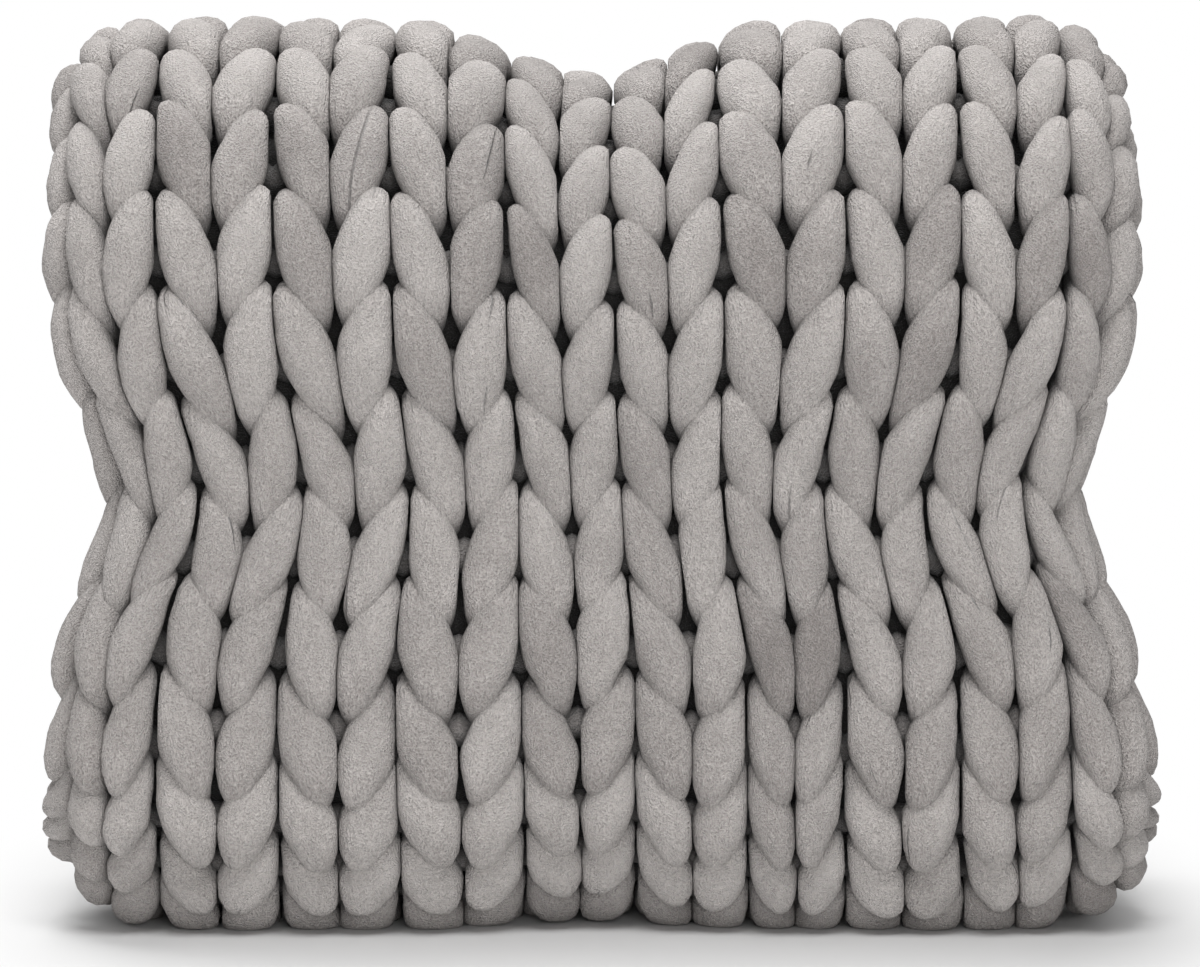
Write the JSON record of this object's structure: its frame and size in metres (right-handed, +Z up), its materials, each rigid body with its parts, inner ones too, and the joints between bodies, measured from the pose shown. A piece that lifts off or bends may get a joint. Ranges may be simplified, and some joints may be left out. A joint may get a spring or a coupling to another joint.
{
  "type": "folded chunky-knit weighted blanket",
  "caption": "Thick weighted blanket hand knitted in stocking stitch from a stuffed velvet tube, folded in three both ways into a fat upright bundle with a drawn-in waist.",
  "frame": {"origin": "middle of the foot that the folded bundle stands on", "axes": "+X along the bundle's width, to the right seen from its front; the front faces -Y; +Z up"},
  "size_m": [0.5201, 0.2595, 0.428],
  "materials": {
    "velvet": "short-pile grey velvet over a stuffed tube"
  },
  "bodies": {
    "root": {"blanket": "velvet"}
  },
  "joints": []
}
